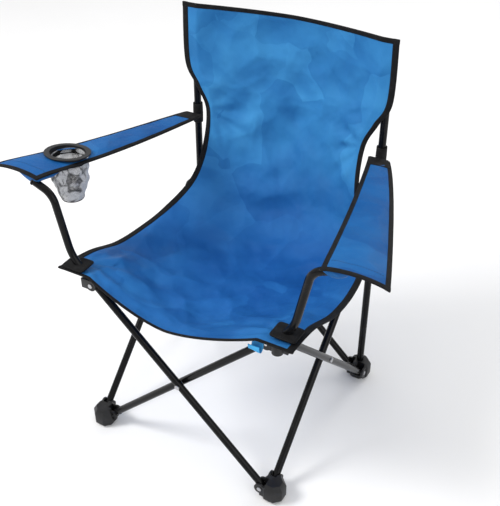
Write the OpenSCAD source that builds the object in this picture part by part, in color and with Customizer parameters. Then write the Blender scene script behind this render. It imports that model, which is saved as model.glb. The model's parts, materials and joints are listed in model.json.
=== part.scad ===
// Folding camp chair: a square cage of four scissor pairs under a one-piece sling, with fabric arms.
// Seen from above the cage stays square as it folds, and every hub keeps upright.
// The front of the chair faces -Y. All sizes are in millimetres.

/* [Cage] */
// Distance between neighbouring foot hubs, centre to centre
hub_span = 443; // [400:1:500]
// Height of the pivots in the foot hubs
foot_pivot_z = 28; // [26:1:34]
// Height of the pivots under the seat when the chair is open
seat_pivot_z = 414; // [390:1:440]
// Distance from a hub's centre to its pivots
pivot_reach = 23; // [22:0.5:28]

/* [Tubes] */
// Outside diameter of every tube
tube_d = 16; // [14:0.5:19]
// Wall of every tube
tube_wall = 1; // [0.8:0.1:1.5]
// Gap between the two bars of a scissor pair
bar_gap = 1; // [0.8:0.1:2]
// Length of tube past its end pivot
bar_end = 9; // [7:0.5:9]
// Height of the back posts
post_top = 843; // [830:1:870]
// Length of the sling's pocket on each back post
pocket_run = 124; // [100:1:128]

/* [Arm posts] */
// Straight run of each front leg past its seat pivot
arm_run_low = 42; // [38:1:50]
// Straight run of the steep middle of the arm post
arm_run_mid = 94; // [80:1:105]
// Straight run at the tip of the arm post
arm_run_tip = 26; // [20:1:34]
// Lean of the steep middle of the arm post, in degrees from upright
arm_steep = 12; // [6:1:16]
// Lean of the tip of the arm post, in degrees from upright
arm_flat = 68; // [55:1:75]

/* [Plastic] */
// Diameter of the pins in the hubs and of the scissor rivets
pin_d = 6; // [5:0.5:6.5]
// Thickness of the cheeks on each side of a bar
cheek = 4.5; // [3.5:0.5:6]
// Clearance on each side of a bar between its cheeks
side_gap = 0.5; // [0.35:0.05:0.8]
// Across-flats size of a foot
foot_d = 50; // [44:1:56]
// Height of a foot
foot_h = 46; // [44:1:50]
// Clearance of a slider on its post
slide_gap = 0.35; // [0.3:0.05:0.6]
// Half height of a slider's sleeve
slider_half = 18; // [16:1:20]

/* [Sling] */
// Height of the sling at the front corners
corner_z = 446; // [443:1:460]
// How far the front edge dips between the corners
front_dip = 48; // [30:1:60]
// How far the front edge swells forward between the corners
front_swell = 17; // [0:1:30]
// How far the middle of the back bows behind the posts
back_bow = 48; // [20:1:60]
// Thickness of the fabric
cloth = 2.4; // [1.6:0.1:3]
// Thickness of the tape sewn round the edges
tape_t = 3.6; // [3:0.1:5]
// Width of the tape sewn round the edges
tape_w = 12; // [8:1:16]

/* [Armrests] */
// Width of an armrest at its front
arm_wide = 122; // [116:1:130]
// Width of an armrest at the back post
arm_narrow = 46; // [42:1:52]
// How far an armrest reaches in front of the outer front leg's middle
arm_reach = 10; // [6:1:20]
// Height of the armrest's rear end
arm_rear_z = 600; // [580:1:610]
// Outside diameter of the cup ring
cup_ring_d = 98; // [92:1:102]
// Opening of the cup ring
cup_bore = 75; // [68:1:76]
// Depth of the mesh cup holder
cup_depth = 104; // [90:1:120]

/* [Hidden] */
half = hub_span / 2;
tube_r = tube_d / 2;
pin_r = pin_d / 2;
slot_w = tube_d + 2 * side_gap;
lug_w = slot_w + 2 * cheek;
bar_off = (tube_d + bar_gap) / 2;
pivot_x = half - pivot_reach;
rise = seat_pivot_z - foot_pivot_z;
bar_len = sqrt(pow(2 * pivot_x, 2) + pow(rise, 2));
tilt = atan2(2 * pivot_x, rise);
turn_gap = 0.05;
open_gap = 0.3;
tight = 0;
bar_swing = norm([bar_end, tube_r]) + 0.7;
slider_r = tube_r + slide_gap + 4.5;
rivet_head_r = 5.5;
rivet_head_h = 2;
arm_bend_low = 90;
arm_bend_top = 40;
lap = 5;
post_foot_z = 12;
patch_size = [54, 46];
patch_t = 3;
pocket_r = tube_r + 0.6;
sleeve_h = 45;
sleeve_t = 2.6;
smooth = 96;
facet = 24;

// ---------------------------------------------------------------- tubes

module straight_tube(length) {
    difference() {
        cylinder(h = length, r = tube_r, $fn = smooth);
        translate([0, 0, -1]) cylinder(h = length + 2, r = tube_r - tube_wall, $fn = smooth);
    }
}

// A line in the XZ plane is a list of stations [x, z, angle], its angle turning from +Z to +X.
// A run goes straight on, and a bend of a negative radius and turn goes the other way.
function last(line) = line[len(line) - 1];
function run_on(line, length) =
    let (s = last(line))
    concat(line, [[s[0] + length * sin(s[2]), s[1] + length * cos(s[2]), s[2]]]);
function bend_on(line, radius, turn, steps) =
    let (s = last(line), cx = s[0] + radius * cos(s[2]), cz = s[1] - radius * sin(s[2]))
    concat(line, [
        for (k = [1:steps])
            let (a = s[2] + turn * k / steps)
            [cx - radius * cos(a), cz + radius * sin(a), a]
    ]);

// A tube swept along a line, as one closed shell
module swept_tube(line) {
    n = len(line);
    outer = tube_r - 0.04;
    inner = tube_r - tube_wall - 0.1;
    points = [
        for (r = [outer, inner]) for (s = line) for (k = [0:facet - 1])
            let (a = 360 * k / facet)
            [s[0] + r * cos(a) * cos(s[2]), r * sin(a), s[1] - r * cos(a) * sin(s[2])]
    ];
    function at(shell, i, k) = (shell * n + i) * facet + k % facet;
    function quad(a, b, c, d) = [[a, b, c], [a, c, d]];
    faces = [
        for (i = [0:n - 2]) for (k = [0:facet - 1]) each concat(
            quad(at(0, i, k), at(0, i + 1, k), at(0, i + 1, k + 1), at(0, i, k + 1)),
            quad(at(1, i, k), at(1, i, k + 1), at(1, i + 1, k + 1), at(1, i + 1, k))
        ),
        for (k = [0:facet - 1]) each concat(
            quad(at(0, 0, k), at(0, 0, k + 1), at(1, 0, k + 1), at(1, 0, k)),
            quad(at(0, n - 1, k), at(1, n - 1, k), at(1, n - 1, k + 1), at(0, n - 1, k + 1))
        ),
    ];
    polyhedron(points = points, faces = faces, convexity = 6);
}

module cross_hole(z, r) {
    translate([0, 0, z]) rotate([90, 0, 0])
        cylinder(h = 3 * tube_d, r = r, center = true, $fn = smooth);
}

// A straight bar on +Z with its first pivot at 0. gaps are the clearances of its three holes.
module scissor_bar(gaps) {
    difference() {
        translate([0, 0, -bar_end]) straight_tube(bar_len + 2 * bar_end);
        for (i = [0:2]) cross_hole(i * bar_len / 2, pin_r + gaps[i]);
    }
}

// The bent top of a front leg, in the leg's own plane, from just inside its straight part
leg_straight = bar_len + arm_run_low;
arm_line = run_on(
    bend_on(
        run_on(
            bend_on([[0, leg_straight - lap, 0], [0, leg_straight, 0]],
                arm_bend_low, tilt - arm_steep, 8),
            arm_run_mid),
        -arm_bend_top, arm_steep - arm_flat, 8),
    arm_run_tip);

// Where the leg's top ends: [distance from the middle of the chair, height]
arm_end = last(arm_line);
arm_tip = [
    -pivot_x + arm_end[1] * sin(tilt) - arm_end[0] * cos(tilt),
    foot_pivot_z + arm_end[1] * cos(tilt) + arm_end[0] * sin(tilt),
];

module arm_leg_tube(gaps) {
    difference() {
        translate([0, 0, -bar_end]) straight_tube(leg_straight + bar_end);
        for (i = [0:2]) cross_hole(i * bar_len / 2, pin_r + gaps[i]);
    }
    swept_tube(arm_line);
}

module on_front(side, offset) {
    translate([-side * pivot_x, -half + offset, foot_pivot_z])
        rotate([0, side * tilt, 0]) children();
}

module on_rear(side, offset) {
    translate([-side * pivot_x, half + offset, foot_pivot_z])
        rotate([0, side * tilt, 0]) children();
}

// A side bar. way is +1 when it climbs towards the back, -1 when it climbs towards the front.
module on_side(x, way) {
    translate([x, -way * pivot_x, foot_pivot_z])
        rotate([-way * tilt, 0, 0]) rotate([0, 0, 90]) children();
}

// A rivet across a scissor pair, on the Y axis. near is the side of the bar that it is fixed in.
module scissor_rivet(near) {
    reach = bar_off + tube_r;
    rotate([90 * near, 0, 0]) {
        translate([0, 0, -reach - open_gap - rivet_head_h])
            cylinder(h = 2 * reach + open_gap + 2 * rivet_head_h, r = pin_r, $fn = smooth);
        translate([0, 0, -reach - open_gap - rivet_head_h])
            cylinder(h = rivet_head_h, r = rivet_head_r, $fn = smooth);
        translate([0, 0, reach]) cylinder(h = rivet_head_h, r = rivet_head_r, $fn = smooth);
    }
}

module post_cap() {
    translate([0, 0, post_top]) {
        translate([0, 0, -10]) cylinder(h = 10, r = tube_r - tube_wall, $fn = smooth);
        cylinder(h = 3, r = tube_r + 0.4, $fn = smooth);
    }
}

// ---------------------------------------------------------------- hubs

// One pair of cheeks for a bar in the XZ plane, centred on y = 0, with its pivot at x = pivot_reach
module lug(low, high) {
    pivot_r = tube_r + cheek;
    translate([0, -lug_w / 2, low]) cube([pivot_reach, lug_w, high - low]);
    translate([pivot_reach, 0, 0]) rotate([90, 0, 0])
        cylinder(h = lug_w, r = pivot_r, center = true, $fn = smooth);
}

// The slot that a bar swings in. up is +1 when the bar leaves upwards, -1 when it leaves downwards.
module lug_slot(up) {
    far = 3 * tube_d;
    low = up > 0 ? -bar_swing : -far;
    translate([pivot_reach - bar_swing, -slot_w / 2, low])
        cube([far, slot_w, far + bar_swing]);
}

module lug_pin_hole() {
    translate([pivot_reach, 0, 0]) rotate([90, 0, 0])
        cylinder(h = lug_w + 2, r = pin_r, center = true, $fn = smooth);
}

module lug_pin() {
    translate([pivot_reach, 0, 0]) rotate([90, 0, 0])
        cylinder(h = lug_w, r = pin_r, center = true, $fn = smooth);
    translate([pivot_reach, lug_w / 2, 0]) rotate([-90, 0, 0])
        cylinder(h = 1.6, r = rivet_head_r - 0.5, $fn = smooth);
}

// Mirrors its children so that their +X and +Y point the way of the signs x and y
module facing(x, y) {
    mirror([x < 0 ? 1 : 0, 0, 0]) mirror([0, y < 0 ? 1 : 0, 0]) children();
}

// Puts its children at a hub's two lugs at height z. to is the way from the hub to the middle of
// the chair, and off is the way each bar is shifted: [the side bar's x, the front or rear bar's y].
module at_leg_lug(to, off, z) {
    translate([0, off[1] * bar_off, z]) facing(to[0], off[1]) children();
}

module at_side_lug(to, off, z) {
    translate([off[0] * bar_off, 0, z]) facing(off[0], to[1]) mirror([1, -1, 0]) children();
}

module at_lugs(to, off, z) {
    at_leg_lug(to, off, z) children();
    at_side_lug(to, off, z) children();
}

// A chunky eight-sided foot, standing on z = 0
module foot_block() {
    hull() {
        for (step = [[0, 0.8], [0.16, 1], [0.74, 1], [1, 0.72]])
            translate([0, 0, step[0] * (foot_h - 1)]) rotate([0, 0, 22.5])
                cylinder(h = 1, r = step[1] * foot_d / 2 / cos(22.5), $fn = 8);
    }
}

module foot_hub(to, off, has_post) {
    difference() {
        union() {
            foot_block();
            at_lugs(to, off, foot_pivot_z) lug(-foot_pivot_z + 9, 10);
        }
        at_lugs(to, off, foot_pivot_z) {
            lug_slot(1);
            lug_pin_hole();
        }
        if (has_post) translate([0, 0, post_foot_z])
            cylinder(h = foot_h, r = tube_r, $fn = smooth);
    }
}

// A slider: a sleeve on a back post with two pairs of cheeks
module slider_hub(to, off) {
    difference() {
        union() {
            translate([0, 0, seat_pivot_z - slider_half])
                cylinder(h = 2 * slider_half, r = slider_r, $fn = smooth);
            at_lugs(to, off, seat_pivot_z) lug(-10, tube_r + cheek);
        }
        at_lugs(to, off, seat_pivot_z) {
            lug_slot(-1);
            lug_pin_hole();
        }
        translate([0, 0, seat_pivot_z - slider_half - 1])
            cylinder(h = 2 * slider_half + 2, r = tube_r + slide_gap, $fn = smooth);
    }
}

// A front bracket: two pairs of cheeks on a short block. The leg runs through its own pair.
module bracket_hub(to, off) {
    web = pivot_reach - bar_swing;
    far = 4 * tube_d;
    difference() {
        union() {
            translate([0, 0, seat_pivot_z])
                cylinder(h = 2 * (tube_r + cheek), r = web + 1, center = true, $fn = smooth);
            at_lugs(to, off, seat_pivot_z) lug(-10, tube_r + cheek);
        }
        at_lugs(to, off, seat_pivot_z) {
            lug_slot(-1);
            lug_pin_hole();
        }
        at_leg_lug(to, off, seat_pivot_z) {
            translate([web, -slot_w / 2, -far]) cube([far, slot_w, 2 * far]);
            translate([-far, -slot_w / 2, 0]) cube([2 * far, slot_w, far]);
        }
    }
}

// ---------------------------------------------------------------- fabric

// A point on a smooth curve through the points p, at t from 0 to 1
function knot(p, i) = p[max(0, min(len(p) - 1, i))];
function through(p, t) =
    let (s = t * (len(p) - 1), i = min(floor(s), len(p) - 2), f = s - i,
         a = knot(p, i - 1), b = knot(p, i), c = knot(p, i + 1), d = knot(p, i + 2))
    0.5 * (2 * b + (c - a) * f + (2 * a - 5 * b + 4 * c - d) * pow(f, 2)
        + (3 * b - a - 3 * c + d) * pow(f, 3));

// The sling's right edge from the front corner to the top, and its middle line: [x, y, z]
sling_edge = [
    [half + 47, -half - 34, corner_z - 1],
    [half + 44, -half * 0.72, corner_z - 16],
    [half + 46, -half * 0.29, corner_z - 50],
    [half + 43, half * 0.14, corner_z - 60],
    [half + 31, half * 0.48, corner_z - 49],
    [half - 5, half * 0.75, corner_z + 6],
    [half - 29, half - 34, corner_z + 84],
    [half - 31, half - 14, arm_rear_z + 18],
    [half - 6, half - 15.5, arm_rear_z + 75],
    [half + 19, half - 15.5, arm_rear_z + 128],
    [half + 19, half - 15.5, post_top + 13],
];
sling_mid = [
    [0, -half - 34 - front_swell, corner_z - front_dip],
    [0, -half * 0.86, corner_z - front_dip - 22],
    [0, -half * 0.43, corner_z - front_dip - 42],
    [0, 0, corner_z - front_dip - 52],
    [0, half * 0.43, corner_z - front_dip - 44],
    [0, half * 0.8, corner_z - front_dip - 4],
    [0, half + 2, corner_z - front_dip + 72],
    [0, half + back_bow * 0.75, corner_z - front_dip + 162],
    [0, half + back_bow, arm_rear_z + 50],
    [0, half + back_bow, arm_rear_z + 135],
    [0, half + back_bow * 0.6, post_top + 6],
];
corner_flat = 0.72;
top_flat = 0.86;
seam_gap = 0.0004;

// Share of the half width where the dip ends: less at the front corners and before the back posts
function flat_share(v) =
    corner_flat + (1 - corner_flat) * max(0, min(1, (v - 0.1) * 3))
        - (1 - top_flat) * max(0, min(1, (v - 0.6) * 5));

// How much of the dip is left at s, from 0 in the middle to 1 at an edge
function dip(s, flat) = s > flat ? 0 : 1 - pow(s / flat, 1.6);
function sling_point(u, v) =
    let (s = abs(2 * u - 1),
         w = dip(s, flat_share(v)), e = through(sling_edge, v), m = through(sling_mid, v))
    [(2 * u - 1) * e[0], e[1] + (m[1] - e[1]) * w, e[2] + (m[2] - e[2]) * w];

// The right armrest, from the back post to the front: u runs from the inner to the outer edge
arm_front_y = -half - bar_off - arm_reach;
arm_rear_x = half + 1;
function arm_point(u, v) =
    let (mid_x = arm_rear_x + (arm_tip[0] + 44 - arm_rear_x) * pow(v, 0.9),
         width = arm_narrow + (arm_wide - arm_narrow) * pow(v, 0.8),
         y = half - 14 + (arm_front_y - half + 14) * v,
         lip = max(0, (v - 0.9) / 0.1),
         base = arm_rear_z + (arm_tip[1] + 15 - arm_rear_z) * v - 10 * sin(180 * v),
         crown = 8 * (1 - pow(2 * u - 1, 2)) * v)
    [mid_x + (u - 0.5) * width, y, base + crown - 3 * pow(lip, 2)];

// Direction across a sheet at (u, v), worked out from its neighbours
function across(kind, u, v) =
    let (h = 0.01, v0 = max(0, v - h), v1 = min(1, v + h),
         a = cloth_point(kind, u + h, v) - cloth_point(kind, u - h, v),
         n = cross(a, cloth_point(kind, u, v1) - cloth_point(kind, u, v0)))
    n / norm(n);
function cloth_point(kind, u, v) = kind == "sling" ? sling_point(u, v) : arm_point(u, v);

// A closed sheet over part of a surface, with nu by nv faces
module sheet(kind, u0, u1, v0, v1, nu, nv, thick) {
    row = nu + 1;
    count = row * (nv + 1);
    side = [
        for (s = [-1, 1]) for (j = [0:nv]) for (i = [0:nu])
            let (u = u0 + (u1 - u0) * i / nu, v = v0 + (v1 - v0) * j / nv)
            cloth_point(kind, u, v) + s * thick / 2 * across(kind, u, v)
    ];
    function quad(a, b, c, d) = [[a, b, c], [a, c, d]];
    faces = [
        for (j = [0:nv - 1]) for (i = [0:nu - 1])
            let (k = j * row + i)
            each concat(
                quad(k, k + row, k + row + 1, k + 1),
                quad(count + k, count + k + 1, count + k + row + 1, count + k + row)
            ),
        for (i = [0:nu - 1])
            let (top = nv * row + i)
            each concat(
                quad(i, i + 1, count + i + 1, count + i),
                quad(top + 1, top, count + top, count + top + 1)
            ),
        for (j = [0:nv - 1])
            let (left = j * row, right = j * row + nu)
            each concat(
                quad(left + row, left, count + left, count + left + row),
                quad(right, right + row, count + right + row, count + right)
            ),
    ];
    polyhedron(points = side, faces = faces, convexity = 8);
}

// Four lengths of tape round a surface: across the two ends, and along the two sides between them
module tape_round(kind, tu, tv, nu, nv) {
    butt = 0.001;
    sheet(kind, 0, 1, 0, tv, nu, 1, tape_t);
    sheet(kind, 0, 1, 1 - tv, 1, nu, 1, tape_t);
    sheet(kind, 0, tu, tv + butt, 1 - tv - butt, 1, nv, tape_t);
    sheet(kind, 1 - tu, 1, tv + butt, 1 - tv - butt, 1, nv, tape_t);
}

sling_tu = tape_w / (2 * half);
sling_tv = tape_w / 990;
arm_tu = 0.08;
arm_tv = 0.03;
leg_through_r = tube_r + 4;

// The hole where a front leg comes up through the sling's corner
module leg_hole() {
    for (side = [-1, 1]) on_front(side, side * bar_off)
        translate([0, 0, bar_len]) cylinder(h = arm_run_low + 40, r = leg_through_r, $fn = smooth);
}

module sling() {
    color("royalblue") difference() {
        sheet("sling", sling_tu + seam_gap, 1 - sling_tu - seam_gap,
            sling_tv + seam_gap, 1 - sling_tv - seam_gap, 20, 34, cloth);
        leg_hole();
    }
}

module sling_tape() {
    color("black") tape_round("sling", sling_tu, sling_tv, 20, 34);
}

// The patch that the leg comes up through, lying on the sling's corner
module corner_patch(side) {
    y = -half + side * bar_off;
    lift = (corner_z + 4 - seat_pivot_z) * tan(tilt);
    color([0.05, 0.05, 0.05]) difference() {
        translate([side * (pivot_x + lift), y, corner_z + 4])
            cube([patch_size[0], patch_size[1], patch_t], center = true);
        leg_hole();
    }
}

// The sling's pocket over the top of a back post
module post_pocket(side) {
    color("royalblue") translate([side * half, half, post_top - pocket_run]) difference() {
        cylinder(h = pocket_run, r = pocket_r + cloth, $fn = smooth);
        translate([0, 0, -1]) cylinder(h = pocket_run + 2, r = pocket_r, $fn = smooth);
    }
}

module arm_sleeve(side) {
    inner = tube_r + slide_gap;
    color([0.07, 0.07, 0.07]) translate([side * half, half, arm_rear_z - sleeve_h / 2])
        difference() {
            cylinder(h = sleeve_h, r = inner + sleeve_t, $fn = smooth);
            translate([0, 0, -1]) cylinder(h = sleeve_h + 2, r = inner, $fn = smooth);
        }
}

cup_v = 0.72;
cup_at = arm_point(0.5, cup_v);
cup_slope = arm_point(0.5, cup_v + 0.05) - arm_point(0.5, cup_v - 0.05);
cup_tilt = atan2(cup_slope[2], -cup_slope[1]);

module armrest(side) {
    color("steelblue") mirror([side > 0 ? 0 : 1, 0, 0]) difference() {
        sheet("arm", arm_tu + seam_gap, 1 - arm_tu - seam_gap,
            arm_tv + seam_gap, 1 - arm_tv - seam_gap, 8, 20, cloth);
        if (side < 0) translate([cup_at[0], cup_at[1], cup_at[2] - 60])
            cylinder(h = 120, r = cup_bore / 2 + 2.9, $fn = smooth);
    }
}

module armrest_tape(side) {
    color("black") mirror([side > 0 ? 0 : 1, 0, 0]) tape_round("arm", arm_tu, arm_tv, 8, 20);
}

module cup_ring() {
    inner = cup_bore / 2;
    flange = 3;
    color([0.06, 0.06, 0.06]) translate([-cup_at[0], cup_at[1], cup_at[2]])
        rotate([-cup_tilt, 0, 0]) rotate_extrude($fn = smooth) {
            translate([inner, 3]) square([cup_ring_d / 2 - inner, flange]);
            translate([inner, -8]) square([2.5, 12]);
        }
}

module cup_pouch() {
    top = cup_bore / 2 - 0.6;
    bottom = 21;
    wall = 1.6;
    color([0.25, 0.27, 0.3]) translate([-cup_at[0], cup_at[1], cup_at[2] - cup_depth])
        rotate_extrude($fn = smooth)
            polygon([
                [0, 0], [bottom, 0], [top - 4, cup_depth * 0.45], [top, cup_depth - 4],
                [top - wall, cup_depth - 4], [top - 4 - wall, cup_depth * 0.45],
                [bottom - wall, wall], [0, wall],
            ]);
}

// ---------------------------------------------------------------- named pieces

plastic = [0.05, 0.05, 0.055];
paint = [0.08, 0.08, 0.085];
steel = [0.75, 0.75, 0.77];

// Each hub's [way to the middle of the chair, way its bars are shifted], for side -1 or +1
function to_middle(side, front) = [-side, front ? 1 : -1];
function foot_off(side, front) = front ? [-1, -side] : [1, -side];
function top_off(side, front) = front ? [1, side] : [-1, side];

module rear_foot(side) {
    color(plastic) translate([side * half, half, 0])
        foot_hub(to_middle(side, false), foot_off(side, false), true);
}

module front_foot(side) {
    color(plastic) translate([side * half, -half, 0])
        foot_hub(to_middle(side, true), foot_off(side, true), false);
}

module rear_post(side) {
    color(paint) translate([side * half, half, post_foot_z]) straight_tube(post_top - post_foot_z);
}

module rear_cap(side) {
    color(plastic) translate([side * half, half, 0]) post_cap();
}

module slider(side) {
    color(plastic) translate([side * half, half, 0])
        slider_hub(to_middle(side, false), top_off(side, false));
}

module bracket(side) {
    color(plastic) translate([side * half, -half, 0])
        bracket_hub(to_middle(side, true), top_off(side, true));
}

module foot_pins(side, front) {
    color(steel) translate([side * half, front ? -half : half, 0])
        at_lugs(to_middle(side, front), foot_off(side, front), foot_pivot_z) lug_pin();
}

module top_pins(side, front) {
    color(steel) translate([side * half, front ? -half : half, 0])
        at_lugs(to_middle(side, front), top_off(side, front), seat_pivot_z) lug_pin();
}

module arm_tip_cap() {
    cylinder(h = 2.5, r = tube_r + 1, $fn = smooth);
    translate([0, 0, -12]) cylinder(h = 12, r = tube_r - tube_wall, $fn = smooth);
}

module rear_left_foot() { rear_foot(-1); }
module rear_left_post() { rear_post(-1); }
module rear_left_cap() { rear_cap(-1); }
module rear_left_foot_pins() { foot_pins(-1, false); }
module rear_right_foot() { rear_foot(1); }
module rear_right_post() { rear_post(1); }
module rear_right_cap() { rear_cap(1); }
module rear_right_foot_pins() { foot_pins(1, false); }
module rear_left_slider() { slider(-1); }
module rear_left_slider_pins() { top_pins(-1, false); }
module rear_right_slider() { slider(1); }
module rear_right_slider_pins() { top_pins(1, false); }
module front_left_foot() { front_foot(-1); }
module front_left_foot_pins() { foot_pins(-1, true); }
module front_right_foot() { front_foot(1); }
module front_right_foot_pins() { foot_pins(1, true); }
module front_left_bracket() { bracket(-1); }
module front_left_bracket_pins() { top_pins(-1, true); }
module front_right_bracket() { bracket(1); }
module front_right_bracket_pins() { top_pins(1, true); }

// The leg that ends at the left arm stands on the right foot, outside the other leg
module left_arm_leg() {
    color(paint) on_front(-1, -bar_off) arm_leg_tube([turn_gap, tight, turn_gap]);
}

module right_arm_leg() {
    color(paint) on_front(1, bar_off) rotate([0, 0, 180])
        arm_leg_tube([turn_gap, open_gap, turn_gap]);
}

module at_arm_tip(side) {
    translate([side * arm_tip[0], -half + side * bar_off, arm_tip[1]])
        rotate([0, side * arm_flat, 0]) children();
}

module left_arm_tip() { color(plastic) at_arm_tip(-1) arm_tip_cap(); }
module right_arm_tip() { color(plastic) at_arm_tip(1) arm_tip_cap(); }

module rear_bar_left_foot() {
    color(paint) on_rear(1, bar_off) scissor_bar([turn_gap, tight, turn_gap]);
}

module rear_bar_right_foot() {
    color(paint) on_rear(-1, -bar_off) scissor_bar([turn_gap, turn_gap, turn_gap]);
}

module left_bar_front_foot() {
    color(paint) on_side(-half - bar_off, 1) scissor_bar([turn_gap, turn_gap, open_gap]);
}

module left_bar_rear_foot() {
    color(paint) on_side(-half + bar_off, -1) scissor_bar([turn_gap, tight, turn_gap]);
}

module right_bar_front_foot() {
    color(paint) on_side(half - bar_off, 1) scissor_bar([open_gap, turn_gap, open_gap]);
}

module right_bar_rear_foot() {
    color(paint) on_side(half + bar_off, -1) scissor_bar([turn_gap, tight, open_gap]);
}

cross_z = (foot_pivot_z + seat_pivot_z) / 2;
module front_rivet() {
    color(steel) translate([0, -half, cross_z]) scissor_rivet(1);
}

module rear_rivet() {
    color(steel) translate([0, half, cross_z]) scissor_rivet(-1);
}

module left_rivet() {
    color(steel) translate([-half, 0, cross_z]) rotate([0, 0, 90]) scissor_rivet(-1);
}

module right_rivet() {
    color(steel) translate([half, 0, cross_z]) rotate([0, 0, 90]) scissor_rivet(-1);
}

module left_corner_patch() { corner_patch(-1); }
module right_corner_patch() { corner_patch(1); }
module left_post_pocket() { post_pocket(-1); }
module right_post_pocket() { post_pocket(1); }
module left_arm_sleeve() { arm_sleeve(-1); }
module right_arm_sleeve() { arm_sleeve(1); }
module left_armrest() { armrest(-1); }
module left_armrest_tape() { armrest_tape(-1); }
module right_armrest() { armrest(1); }
module right_armrest_tape() { armrest_tape(1); }

rear_left_foot();
rear_left_post();
rear_left_cap();
rear_left_foot_pins();
rear_right_foot();
rear_right_post();
rear_right_cap();
rear_right_foot_pins();
rear_left_slider();
rear_left_slider_pins();
rear_right_slider();
rear_right_slider_pins();
front_left_foot();
front_left_foot_pins();
front_right_foot();
front_right_foot_pins();
front_left_bracket();
front_left_bracket_pins();
front_right_bracket();
front_right_bracket_pins();
left_arm_leg();
left_arm_tip();
right_arm_leg();
right_arm_tip();
rear_bar_left_foot();
rear_bar_right_foot();
left_bar_front_foot();
left_bar_rear_foot();
right_bar_front_foot();
right_bar_rear_foot();
front_rivet();
rear_rivet();
left_rivet();
right_rivet();
sling();
sling_tape();
left_corner_patch();
right_corner_patch();
left_post_pocket();
right_post_pocket();
left_arm_sleeve();
right_arm_sleeve();
left_armrest();
left_armrest_tape();
right_armrest();
right_armrest_tape();
cup_ring();
cup_pouch();
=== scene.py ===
"""Looks of a folding camp chair: blue sling, armrests, tapes, mesh cup holder, and the finish of the frame.

Lengths are metres. +Z is up and the chair faces -Y. Fabric surfaces are functions of two shares, u across and
v along, worked out as whole arrays.
"""

import json
import logging
import math
from dataclasses import dataclass, field
from enum import Enum
from typing import Callable

import bmesh
import bpy
import numpy as np
from mathutils import Matrix, Vector

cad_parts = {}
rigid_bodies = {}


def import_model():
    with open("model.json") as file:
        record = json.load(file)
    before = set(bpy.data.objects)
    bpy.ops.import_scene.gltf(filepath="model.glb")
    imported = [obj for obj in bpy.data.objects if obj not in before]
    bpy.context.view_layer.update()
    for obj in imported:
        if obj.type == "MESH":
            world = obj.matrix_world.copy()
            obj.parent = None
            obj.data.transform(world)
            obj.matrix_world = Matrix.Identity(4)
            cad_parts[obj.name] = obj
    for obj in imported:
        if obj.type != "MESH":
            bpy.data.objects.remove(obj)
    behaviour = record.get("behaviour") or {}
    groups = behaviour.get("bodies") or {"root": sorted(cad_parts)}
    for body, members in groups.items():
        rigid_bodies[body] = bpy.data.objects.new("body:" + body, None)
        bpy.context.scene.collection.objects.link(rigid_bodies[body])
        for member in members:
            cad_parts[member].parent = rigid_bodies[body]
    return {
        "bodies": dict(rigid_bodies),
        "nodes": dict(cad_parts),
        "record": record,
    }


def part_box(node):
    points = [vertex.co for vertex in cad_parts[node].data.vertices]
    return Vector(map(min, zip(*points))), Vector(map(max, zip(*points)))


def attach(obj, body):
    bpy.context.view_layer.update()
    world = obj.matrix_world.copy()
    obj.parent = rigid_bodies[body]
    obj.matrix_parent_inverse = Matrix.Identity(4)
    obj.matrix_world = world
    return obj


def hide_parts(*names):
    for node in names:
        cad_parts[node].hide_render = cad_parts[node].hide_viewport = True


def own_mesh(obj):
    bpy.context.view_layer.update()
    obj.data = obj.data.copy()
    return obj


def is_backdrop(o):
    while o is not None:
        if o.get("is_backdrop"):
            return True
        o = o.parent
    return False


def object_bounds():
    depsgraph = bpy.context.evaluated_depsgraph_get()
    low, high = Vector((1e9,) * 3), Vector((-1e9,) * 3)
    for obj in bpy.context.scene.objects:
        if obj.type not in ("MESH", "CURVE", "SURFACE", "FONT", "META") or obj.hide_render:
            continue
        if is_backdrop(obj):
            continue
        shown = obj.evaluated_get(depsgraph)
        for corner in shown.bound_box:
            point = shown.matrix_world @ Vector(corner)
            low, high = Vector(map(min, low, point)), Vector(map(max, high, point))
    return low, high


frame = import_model()
CAD_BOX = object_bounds()

log = logging.getLogger("camp_chair")
MM = 0.001
Array = np.ndarray
Surface = Callable[[Array, Array], Array]


# ---------------------------------------------------------------- shader tools


class Wire:
    """One output of a shader node. Arithmetic on it adds Math nodes to its recipe."""

    def __init__(self, recipe: "Recipe", output: bpy.types.NodeSocket) -> None:
        """Keeps the recipe and the output."""
        self.recipe = recipe
        self.output = output

    def _math(self, operation: str, first: "Wire | float", second: "Wire | float" = 0.0) -> "Wire":
        """Adds one Math node with these two inputs."""
        return self.recipe.add("ShaderNodeMath", {"operation": operation}, {0: first, 1: second})

    def __add__(self, other: "Wire | float") -> "Wire":
        """Sum."""
        return self._math("ADD", self, other)

    __radd__ = __add__

    def __sub__(self, other: "Wire | float") -> "Wire":
        """Difference."""
        return self._math("SUBTRACT", self, other)

    def __rsub__(self, other: float) -> "Wire":
        """Difference from a number."""
        return self._math("SUBTRACT", other, self)

    def __mul__(self, other: "Wire | float") -> "Wire":
        """Product."""
        return self._math("MULTIPLY", self, other)

    __rmul__ = __mul__

    def __abs__(self) -> "Wire":
        """Absolute value."""
        return self._math("ABSOLUTE", self)

    def sine(self) -> "Wire":
        """Sine, of an angle in radians."""
        return self._math("SINE", self)

    def over(self, limit: float) -> "Wire":
        """1 where the value is above the limit, else 0."""
        return self._math("GREATER_THAN", self, limit)


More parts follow.
